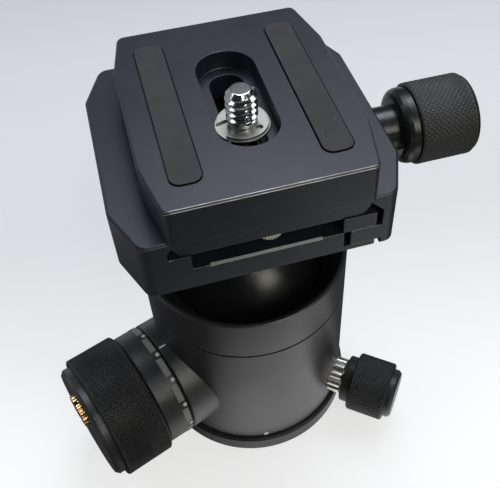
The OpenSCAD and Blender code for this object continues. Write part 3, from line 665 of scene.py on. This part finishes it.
def anodised(name, colour, roughness, grain=1.0, wear=0.5, dust=0.35, lathe=None, specular=0.5, bevel=True,
             ends=0.0, bare=None):
    """Black anodised metal: blasted grain, worn broken edges, dust, and lathe lines on turned parts.

    With other values it also stands for rubber, polymer and paint.
    Ends is the strength of the bright lines on the edges that run across the two ends of a milled part; these
    lines are painted highlights in bare metal. Bare is a function that gives a mask of faces cut after
    anodising, or of more painted highlight lines, for a part with such ends.
    Both need the bevel.
    """
    colours = bpy.context.scene.ball_head_colours
    material, tree, shader, coords = blank_material(name)
    blasted = place_group(
        tree, "blasted_grain", coords, Colour=(*colour, 1), Roughness=roughness, Grain=grain
    )
    dusty = place_group(tree, "dust", coords, Colour=blasted.outputs["Colour"], Amount=dust)
    base = dusty.outputs["Colour"]
    normal = None
    if bevel:
        edge = place_group(tree, "edge_break", coords, Wear=wear, Ends=ends)
        base = mix_colour(tree, edge.outputs["Mask"], base, (*colours.worn, 1))
        normal = edge.outputs["Normal"]
        if ends > 0:
            # The lines across the ends are painted highlights in bare metal; the bare mask adds cut faces or
            # more painted highlight lines.
            cut = edge.outputs["Line"]
            if bare is not None:
                cut = math_node(tree, "MAXIMUM", cut, bare(tree, coords))
            base = mix_colour(tree, cut, base, (*colours.bare, 1))
            tree.links.new(product(tree, cut, BARE_METALLIC), shader.inputs["Metallic"])
    normal = bump(tree, blasted.outputs["Height"], BLASTED_PIT_DEPTH, 0.5, normal)
    if lathe is not None:
        lines = place_group(tree, "lathe_lines", axis_vector(tree, coords, *lathe))
        normal = bump(tree, lines.outputs["Height"], BLASTED_LINE_DEPTH, 0.5, normal)
    feed_shader(tree, shader, base, blasted, normal)
    shader.inputs["Specular IOR Level"].default_value = specular
    return material


def bright_metal(name, colour, roughness, lathe=None, edge_radius=None, metallic=1.0):
    """Bright metal: lathe lines, uneven roughness and a little tarnish."""
    tarnish = (*bpy.context.scene.ball_head_colours.tarnish, 1)
    material, tree, shader, coords = blank_material(name)
    shader.inputs["Metallic"].default_value = metallic
    polished = place_group(
        tree, "blasted_grain", coords, Colour=(*colour, 1), Roughness=roughness, Grain=POLISHED_GRAIN
    )
    stain = patches(tree, coords, STAIN_SCALE, detail=4.0, gain=2.2, offset=-0.95, roughness=0.65)
    base = mix_colour(tree, product(tree, stain, STAIN_SHARE), polished.outputs["Colour"], tarnish)
    edge = place_group(tree, "edge_break", coords, Radius=edge_radius)
    normal = bump(tree, polished.outputs["Height"], POLISHED_PIT_DEPTH, 0.4, edge.outputs["Normal"])
    if lathe is not None:
        lines = place_group(tree, "lathe_lines", axis_vector(tree, coords, *lathe))
        normal = bump(tree, lines.outputs["Height"], POLISHED_LINE_DEPTH, 0.5, normal)
    feed_shader(tree, shader, base, polished, normal)
    return material


def dress(material, *nodes):
    """Gives CAD nodes a material."""
    for node in nodes:
        for slot in frame["nodes"][node].material_slots:
            slot.material = material


def finish_piece(obj, material, body, slot_name, *replaced):
    """Gives a new piece its material and body, and hides the CAD nodes that it stands for; its slot name is
    not used.
    """
    obj.data.materials.append(material)
    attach(obj, body)
    if replaced:
        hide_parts(*replaced)


# ---------------------------------------------------------------- operators


class MakeSharedEffects(bpy.types.Operator):
    """Builds the shader groups that the finishes share"""

    bl_idname = "ball_head.shared_effects"
    bl_label = "Shared effects"

    def execute(self, context):
        for build in (build_blasted_grain, build_lathe_lines, build_edge_break, build_dust):
            group = build()
            GROUPS[group.name] = group
        return {"FINISHED"}


class FinishBody(bpy.types.Operator):
    """Finishes the base, the housing, the collar and the ball"""

    bl_idname = "ball_head.body"
    bl_label = "Body and ball"

    def execute(self, context):
        colours = context.scene.ball_head_colours
        upright = ((0.0, 0.0, 0.0), (0.0, 0.0, 1.0))
        body = anodised(
            "housing_satin", colours.housing, roughness=0.38, grain=0.6, wear=0.25, dust=0.25, lathe=upright,
            specular=0.85,
        )
        dress(body, "housing", "top_collar")
        base = anodised(
            "base_satin", colours.base, roughness=0.46, grain=2.4, wear=0.3, lathe=upright, specular=0.3
        )
        dress(base, "base_plate")
        ball = anodised(
            "ball_gloss", colours.ball, roughness=0.30, grain=0.15, dust=0.25, specular=0.65, bevel=False
        )
        dress(ball, "ball", "neck")
        polymer = anodised("sliding_polymer", colours.polymer, roughness=0.6, wear=0.0, dust=0.2)
        dress(polymer, "pan_washer", "seat_liner", "lower_cup")
        mark = anodised(
            "mark_paint", colours.mark, roughness=0.6, grain=0.6, dust=0.0, specular=0.3, bevel=False
        )
        dress(mark, "pan_index_dot", "knob_index_tick")
        dress(self.scale_paint(colours), "scale_marks")
        return {"FINISHED"}

    def scale_paint(self, colours):
        """White dots with grey bars between them; the bars are hatched along the axis.

        The angle round the ring is counted in dots, with a fraction of 0.5 at the middle of each dot.
        """
        origin, axis = joint_axis("main_lock_turn")
        rel = points_of("scale_marks") - origin
        along = rel @ axis
        dots = rel[along < along.min() + 0.05 * MM]
        turn = Vector(axis).to_track_quat("Z", "Y").to_matrix().inverted()
        dot_place = turn @ Vector(dots[0])
        first = math.atan2(dot_place.y, dot_place.x) * SCALE_DOTS / TAU
        material = anodised(
            "scale_paint", colours.bar, roughness=0.55, grain=0.8, dust=0.0, specular=0.3, bevel=False
        )
        tree = material.node_tree
        colour_input = tree.nodes["Principled BSDF"].inputs["Base Color"]
        coords = tree.nodes["Texture Coordinate"].outputs["Object"]
        x, y, z = parts_of(tree, axis_vector(tree, coords, origin, axis))
        angle = math_node(tree, "ARCTAN2", y, x)
        marks = math_node(tree, "MULTIPLY_ADD", angle, SCALE_DOTS / TAU, SCALE_DOTS + 0.5 - first)
        from_dot = math_node(tree, "SUBTRACT", math_node(tree, "FRACT", marks), 0.5)
        dot = math_node(tree, "LESS_THAN", math_node(tree, "ABSOLUTE", from_dot), DOT_SHARE)
        hatch = math_node(tree, "SINE", product(tree, z, TAU / HATCH_PITCH))
        hatch = math_node(tree, "MULTIPLY_ADD", hatch, 0.35, 0.65)
        bar = mix_colour(tree, hatch, (*colours.hatch, 1), colour_input.links[0].from_socket)
        tree.links.new(mix_colour(tree, dot, bar, (*colours.mark, 1)), colour_input)
        return material


class FinishClamp(bpy.types.Operator):
    """Finishes the clamp, the moving jaw and the camera plate"""

    bl_idname = "ball_head.clamp"
    bl_label = "Clamp and plate"

    def execute(self, context):
        colours = context.scene.ball_head_colours
        base = anodised(
            "clamp_satin", colours.clamp, roughness=0.41, wear=0.12, ends=1.0, bare=self.pocket_cut
        )
        dress(base, "clamp_base")
        dress(anodised("jaw_satin", colours.clamp, roughness=0.41, wear=0.12, ends=1.0), "moving_jaw")
        plate = anodised(
            "plate_satin", colours.plate, roughness=0.37, wear=0.15, dust=0.30, ends=1.0,
            bare=self.plate_highlight_lines,
        )
        dress(plate, "qr_plate")
        rubber = anodised(
            "rubber_matt", colours.rubber, roughness=0.72, grain=1.6, wear=0.0, dust=0.8, specular=0.3
        )
        self.paint_side_shade(rubber, colours)
        dress(rubber, "pad_left", "pad_right")
        dress(
            bright_metal("turned_steel", colours.steel, roughness=0.28),
            "pan_retainer", "retainer_screw", "clamp_mount_screw", "guide_pins",
            "clamp_screw", "main_lock_screw", "pan_lock_screw",
        )
        stop = bright_metal(
            "stop_steel", colours.nickel, roughness=0.42, edge_radius=0.04 * MM, metallic=0.2
        )
        dress(stop, "stop_screws")
        dress(bright_metal("plain_brass", colours.brass, roughness=0.3), "wedge_block", "brake_shoe")
        return {"FINISHED"}

    def paint_side_shade(self, material, colours):
        """Paints shade on the upright sides of the pads: they are made nearly black, like the shade in a
        narrow gap.
        """
        tree = material.node_tree
        colour_input = tree.nodes["Principled BSDF"].inputs["Base Color"]
        normal = tree.nodes.new("ShaderNodeNewGeometry").outputs["Normal"]
        top = math_node(tree, "GREATER_THAN", parts_of(tree, normal)[2], 0.5)
        plain = colour_input.links[0].from_socket
        # Painted shade: every face of a pad that does not look upwards takes the near-black colour.
        tree.links.new(mix_colour(tree, top, (*colours.gap, 1), plain), colour_input)

    def pocket_cut(self, tree, coords):
        """Mask of the bevels on the pocket floors at both ends of the clamp."""
        top = points_of("clamp_base")[:, 2].min() + POCKET_TOP
        height = parts_of(tree, coords)[2]
        _, y, z = parts_of(tree, tree.nodes.new("ShaderNodeNewGeometry").outputs["True Normal"])
        steep = product(tree, math_node(tree, "ABSOLUTE", y), z)
        steep = product(tree, math_node(tree, "GREATER_THAN", steep, POCKET_LEAN), POCKET_SHINE)
        return product(tree, steep, math_node(tree, "LESS_THAN", height, top))

    def plate_highlight_lines(self, tree, coords):
        """Mask of two thin bare lines along the top bevel at each end of the plate, painted highlights along
        the bevel's edges.

        Across is the distance from the bevel's middle, measured square to it and along Y.
        """
        points = points_of("qr_plate")
        end, top = points[:, 1].max(), points[:, 2].max()
        _, y, z = parts_of(tree, coords)
        out = math_node(tree, "ABSOLUTE", y)
        across = math_node(tree, "SUBTRACT", math_node(tree, "SUBTRACT", out, z), end - top)
        across = math_node(tree, "ABSOLUTE", across)
        inner = blend_range(tree, across, *PLATE_LINE_INNER, 0.0, 1.0)
        outer = blend_range(tree, across, *PLATE_LINE_OUTER, 0.0, 1.0)
        lines = math_node(tree, "SUBTRACT", inner, outer)
        at_end = math_node(tree, "GREATER_THAN", out, end - PLATE_LINE_REACH)
        # Breaks the painted highlight lines up unevenly.
        worn = patches(tree, coords, PLATE_HIGHLIGHT_SCALE, detail=3.0, gain=1.4, offset=0.1)
        return product(tree, lines, at_end, worn)


class MakeKnobs(bpy.types.Operator):
    """Makes the three knurled grips and finishes their smooth turned parts"""

    bl_idname = "ball_head.knobs"
    bl_label = "Knobs"

    def execute(self, context):
        sizes = context.scene.ball_head_sizes
        colours = context.scene.ball_head_colours
        fine = (sizes.main_knurl_pitch, sizes.main_knurl_depth)
        coarse = (sizes.small_knurl_pitch, sizes.small_knurl_depth)
        # Label, joint, node, smooth nodes, bore, knurl, colours of grip and caps, shine of the caps.
        rows = (
            ("main", "main_lock_turn", "main_knob", ("main_knob_cap", "scale_ring"), 6.0 * MM, fine,
             colours.knob, colours.cap, 0.5),
            ("clamp", "clamp_knob_turn", "clamp_knob", ("clamp_knob_cap",), 3.0 * MM, coarse,
             colours.clamp_knob, colours.knob, 0.06),
            ("pan", "pan_lock_turn", "pan_knob", ("pan_knob_cap",), 2.5 * MM, coarse,
             colours.knob, colours.cap, 0.5),
        )
        for label, joint, node, smooth, bore, (pitch, depth), grip_black, cap_black, shine in rows:
            origin, axis = joint_axis(joint)
            grip = anodised(
                label + "_grip", grip_black, roughness=0.50, grain=0.3, dust=0.25, specular=0.45, bevel=False
            )
            cap = anodised(
                label + "_cap", cap_black, roughness=0.36, grain=0.4, wear=0.3, dust=0.3,
                lathe=(origin, axis), specular=shine,
            )
            start, end, radius, flange = self.band(node, origin, axis)
            piece = knurled_grip(
                label + "_knob_grip", origin, axis, start, end, radius, bore, pitch, depth, flange
            )
            finish_piece(piece, grip, node, "knob_black", node)
            dress(cap, *smooth)
        stem = anodised(
            "stem_gloss", colours.stem, roughness=0.28, grain=0.4, wear=0.2, dust=0.3,
            lathe=joint_axis("clamp_knob_turn"),
        )
        dress(stem, "clamp_knob_stem")
        return {"FINISHED"}

    def band(self, node, origin, axis):
        """Start, end and radius of a knob's knurled band, and the step in front of it if there is one."""
        along, radius = round_axis(node, origin, axis)
        wide = along[radius > BAND_SHARE * radius.max()]
        before = along < wide.min() - FLANGE_LEAST
        flange = (along.min(), radius[before].max() - FLANGE_INSET) if before.any() else None
        return wide.min(), wide.max(), radius.max(), flange


class MakeCameraScrew(bpy.types.Operator):
    """Makes the camera screw with its helical thread"""

    bl_idname = "ball_head.camera_screw"
    bl_label = "Camera screw"

    def execute(self, context):
        """A turned profile with the groove of the thread cut in along a helix.

        The groove is a triangle wave of the place along the axis less the turn, widened at its root.
        """
        sizes = context.scene.ball_head_sizes
        pitch, depth = sizes.thread_pitch, sizes.thread_depth
        origin, axis = joint_axis("screw_turn")
        along, radius = round_axis("camera_screw", origin, axis)
        low, high, head = along.min(), along.max(), radius.max()
        foot = low + THREAD_FOOT
        head_top = low + SCREW_HEAD_HEIGHT
        rows = profile_rows(
            [(low, SCREW_HUB_RADIUS), (low, head - SCREW_HEAD_ROUND), (low + SCREW_HEAD_ROUND, head),
             (head_top, head), (head_top, SHANK_RADIUS), (foot, SHANK_RADIUS),
             (foot + THREAD_RUN_OUT, STUD_RADIUS), *((high - below, tip) for below, tip in SCREW_TIP)],
            pitch / THREAD_ROWS,
        )
        turns = np.arange(SCREW_COLUMNS) / SCREW_COLUMNS
        groove = wave((rows[:, 0:1] - low) / pitch - turns[None])
        groove = np.clip(THREAD_STEEP * groove - THREAD_SINK, 0, 1)
        root = STUD_RADIUS - depth * (1 - groove)
        threaded = (rows[:, 0:1] > foot) & (rows[:, 1:2] > THREAD_LEAST_RADIUS)
        radii = np.where(threaded, np.minimum(root, rows[:, 1:2]), rows[:, 1:2])
        screw = turned_surface("camera_screw_thread", origin, axis, rows[:, 0:1], radii)
        chrome = bright_metal(
            "screw_bright", context.scene.ball_head_colours.chrome, roughness=0.13, lathe=(origin, axis),
            edge_radius=0.05 * MM,
        )
        finish_piece(screw, chrome, "camera_screw", "bright_chrome", "camera_screw")
        return {"FINISHED"}


class MakeBrightParts(bpy.types.Operator):
    """Finishes the clip, its washer, the fluted pan collar and the brass tension wheel"""

    bl_idname = "ball_head.bright_parts"
    bl_label = "Bright parts"

    def execute(self, context):
        colours = context.scene.ball_head_colours
        rows = (
            ("e_clip", "clip_bright", colours.clip, 0.42, None),
            ("clip_washer", "washer_steel", colours.clip, 0.36, None),
            ("pan_collar", "collar_bright", colours.nickel, 0.3, joint_axis("pan_lock_turn")),
            ("tension_wheel", "wheel_brass", colours.brass, 0.22, joint_axis("tension_turn")),
        )
        for node, name, colour, roughness, lathe in rows:
            dress(bright_metal(name, colour, roughness, lathe), node)
        return {"FINISHED"}


class MakeStage(bpy.types.Operator):
    """Makes the camera, the pale floor and the soft lamps"""

    bl_idname = "ball_head.stage"
    bl_label = "Stage"

    def execute(self, context):
        stage = context.scene.ball_head_stage
        self.add_camera(context, stage)
        self.add_floor(stage)
        self.add_world(context, stage)
        self.add_lamps(context)
        context.scene.view_settings.view_transform = "Standard"
        return {"FINISHED"}

    def add_camera(self, context, stage):
        """Camera that looks along the heading, tipped down by the pitch and then rolled."""
        sy, cy = math.sin(stage.heading), math.cos(stage.heading)
        sp, cp = math.sin(stage.pitch), math.cos(stage.pitch)
        forward = Vector((-sy * cp, cy * cp, -sp))
        level = Vector((cy, sy, 0))
        down = forward.cross(level)
        right = math.cos(stage.roll) * level + math.sin(stage.roll) * down
        down = -math.sin(stage.roll) * level + math.cos(stage.roll) * down
        data = bpy.data.cameras.new("camera")
        data.sensor_width = SENSOR_WIDTH
        data.lens = stage.lens
        data.shift_x = stage.shift_x
        data.shift_y = stage.shift_y
        data.clip_start = 0.01
        data.clip_end = 20
        camera = bpy.data.objects.new("camera", data)
        turn = Matrix((right, -down, -forward)).transposed().to_4x4()
        camera.matrix_world = Matrix.Translation(Vector(stage.place)) @ turn
        context.scene.collection.objects.link(camera)
        context.scene.camera = camera

    def add_floor(self, stage):
        """A wide flat floor in the plane that the base stands on.

        To the camera it is pale, and a little greyer far off in painted shade, with the shadow on a share of
        it. To other rays it glows beside the base, behind and far out, and is dark in front, where the
        surroundings shade it.
        Places on the floor are in metres from the middle of the base.
        """
        half = FLOOR_HALF
        corners = np.array([(-half, -half, 0), (half, -half, 0), (half, half, 0), (-half, half, 0)])
        floor = mesh_object("floor", corners, [np.array([[0, 1, 2, 3]])])
        material, tree, shader, coords = blank_material("floor_pale")
        tree.nodes.remove(shader)
        pale = self.floor_colour(tree, coords, stage)
        plain = tree.nodes.new("ShaderNodeEmission")
        tree.links.new(self.floor_glow(tree, coords, stage), plain.inputs["Strength"])
        lit = tree.nodes.new("ShaderNodeBsdfDiffuse")
        tree.links.new(pale, lit.inputs["Color"])
        glowing = tree.nodes.new("ShaderNodeEmission")
        tree.links.new(pale, glowing.inputs["Color"])
        glowing.inputs["Strength"].default_value = stage.floor_level
        seen = self.mix_shaders(tree, stage.shadow_share, glowing.outputs[0], lit.outputs[0])
        path = tree.nodes.new("ShaderNodeLightPath").outputs
        direct = math_node(tree, "MAXIMUM", path["Is Camera Ray"], path["Is Transmission Ray"])
        shown = math_node(tree, "MAXIMUM", direct, product(tree, path["Is Glossy Ray"], stage.floor_gloss))
        surface = self.mix_shaders(tree, shown, plain.outputs[0], seen)
        tree.links.new(surface, tree.nodes["Material Output"].inputs["Surface"])
        floor.data.materials.append(material)

    def mix_shaders(self, tree, share, first, second):
        """Mixes two shaders; the share is that of the second."""
        node = tree.nodes.new("ShaderNodeMixShader")
        feed(tree, share, node.inputs[0])
        tree.links.new(first, node.inputs[1])
        tree.links.new(second, node.inputs[2])
        return node.outputs[0]

    def floor_colour(self, tree, coords, stage):
        """Colour of the floor, which turns to the far shade in two steps, sooner towards +X; the greying far
        off is painted shade.
        """
        x, y, _ = parts_of(tree, coords)
        far_off = math_node(tree, "MULTIPLY_ADD", x, 0.15, y)
        shade = blend_range(tree, far_off, -0.04, 0.07, 0.0, 0.65)
        shade = math_node(tree, "ADD", shade, blend_range(tree, far_off, 0.10, 0.26, 0.0, 0.35))
        return mix_colour(tree, shade, (*stage.floor_tint, 1), (*stage.floor_far_shade, 1))

    def floor_glow(self, tree, coords, stage):
        """Brightness of the floor to rays that bounce: the brightest of two patches and three stretches."""
        bounce, around = stage.floor_bounce, stage.floor_around
        x, y, _ = parts_of(tree, coords)
        near = self.lit_patch(tree, coords, (0.018, -0.038), 1.7, (0.026, 0.062), bounce)
        side = self.lit_patch(tree, coords, (0.070, -0.092), 1.0, (0.018, 0.050), bounce)
        behind = blend_range(tree, y, 0.03, 0.08, 0.0, around)
        left = blend_range(tree, x, -0.16, -0.09, around, 0.0)
        front = blend_range(tree, y, -0.75, -0.45, around, 0.02)
        glow = near
        for stretch in (side, behind, left, front):
            glow = math_node(tree, "MAXIMUM", glow, stretch)
        return glow

    def lit_patch(self, tree, coords, place, narrow, reach, level):
        """Brightness of an oval patch of the floor, which fades from the first reach to the second.

        Narrow is how many times shorter the patch is along Y than along X.
        """
        node = tree.nodes.new("ShaderNodeMapping")
        node.inputs["Location"].default_value = (-place[0], -place[1] * narrow, 0)
        node.inputs["Scale"].default_value = (1, narrow, 1)
        tree.links.new(coords, node.inputs["Vector"])
        far = vector_node(tree, "LENGTH", node.outputs[0]).outputs["Value"]
        return blend_range(tree, far, *reach, level, 0.0)

    def add_world(self, context, stage):
        """Surroundings: bright overhead and behind to the right, grey behind to the left, dark in front.

        To the camera they are at least as bright as the backdrop level.
        """
        world = bpy.data.worlds.new("surroundings")
        world.use_nodes = True
        tree = world.node_tree
        back = tree.nodes["Background"]
        way = tree.nodes.new("ShaderNodeTexCoord").outputs["Generated"]
        overhead = vector_node(tree, "DOT_PRODUCT", way, OVERHEAD_WAY).outputs["Value"]
        level = blend_range(tree, overhead, 0.80, 0.97, stage.world_low, stage.world_level)
        wall = vector_node(tree, "DOT_PRODUCT", way, LEFT_WALL_WAY).outputs["Value"]
        level = math_node(tree, "MAXIMUM", level, blend_range(tree, wall, 0.60, 0.92, 0.0, stage.wall_level))
        seen = tree.nodes.new("ShaderNodeLightPath").outputs["Is Camera Ray"]
        level = math_node(tree, "MAXIMUM", level, product(tree, seen, stage.backdrop_level))
        tree.links.new(level, back.inputs[1])
        back.inputs[0].default_value = (*stage.world_tint, 1)
        context.scene.world = world

    def add_lamps(self, context):
        """Soft area lamps that face the middle of the object.

        A wide panel hangs behind and to the right. A window and a small bright one in front give the ball
        its highlights, and one on the left and one on the right light the sides of the knobs.
        """
        # Name, heading from +Y towards +X and height in degrees, distance, size, brightness, colour.
        rows = (
            ("panel", 26, 66, 1.1, 0.62, 5.8, (0.88, 0.92, 1.0)),
            ("front_window", 154, 32, 0.8, 0.34, 3.8, (1.0, 0.98, 0.84)),
            ("edge_window", 172, 54, 0.8, 0.10, 18.0, (0.98, 0.99, 1.0)),
            ("left_window", -73, 45, 0.8, 0.28, 2.8, (0.86, 0.91, 1.0)),
            ("right_window", 95, 46, 0.8, 0.28, 2.8, (0.90, 0.94, 1.0)),
        )
        middle = Vector((0, 0, 60 * MM))
        for name, heading, height, distance, size, brightness, colour in rows:
            turn, rise = math.radians(heading), math.radians(height)
            away = Vector(
                (math.sin(turn) * math.cos(rise), math.cos(turn) * math.cos(rise), math.sin(rise))
            )
            lamp = bpy.data.lights.new(name, "AREA")
            lamp.shape = "SQUARE"
            lamp.size = size
            lamp.energy = brightness * math.pi * size * size
            lamp.color = colour
            obj = bpy.data.objects.new(name, lamp)
            obj.location = middle + distance * away
            obj.rotation_euler = (-away).to_track_quat("-Z", "Y").to_euler()
            context.scene.collection.objects.link(obj)


# ---------------------------------------------------------------- panel


STEPS = (
    MakeSharedEffects, FinishBody, FinishClamp, MakeKnobs, MakeCameraScrew, MakeBrightParts, MakeStage,
)


class BallHeadPanel(bpy.types.Panel):
    """Lists the steps and the settings"""

    bl_idname = "VIEW3D_PT_ball_head"
    bl_label = "Ball head looks"
    bl_space_type = "VIEW_3D"
    bl_region_type = "UI"
    bl_category = "Ball Head"

    def draw(self, context):
        scene = context.scene
        for step in STEPS:
            self.layout.operator(step.bl_idname)
        for group in (scene.ball_head_sizes, scene.ball_head_colours, scene.ball_head_stage):
            box = self.layout.box()
            for name in group.__annotations__:
                box.prop(group, name)


CLASSES = (BallHeadSizes, BallHeadColours, BallHeadStage, *STEPS, BallHeadPanel)


def register():
    """Registers the classes and hangs the settings on the scene."""
    for cls in CLASSES:
        bpy.utils.register_class(cls)
    bpy.types.Scene.ball_head_sizes = bpy.props.PointerProperty(type=BallHeadSizes)
    bpy.types.Scene.ball_head_colours = bpy.props.PointerProperty(type=BallHeadColours)
    bpy.types.Scene.ball_head_stage = bpy.props.PointerProperty(type=BallHeadStage)


def unregister():
    """Takes the settings off the scene and unregisters the classes."""
    for name in ("ball_head_sizes", "ball_head_colours", "ball_head_stage"):
        delattr(bpy.types.Scene, name)
    for cls in reversed(CLASSES):
        bpy.utils.unregister_class(cls)


def main():
    """Runs every step in order."""
    register()
    bpy.ops.ball_head.shared_effects()
    bpy.ops.ball_head.body()
    bpy.ops.ball_head.clamp()
    bpy.ops.ball_head.knobs()
    bpy.ops.ball_head.camera_screw()
    bpy.ops.ball_head.bright_parts()
    bpy.ops.ball_head.stage()


if __name__ == "__main__":
    main()
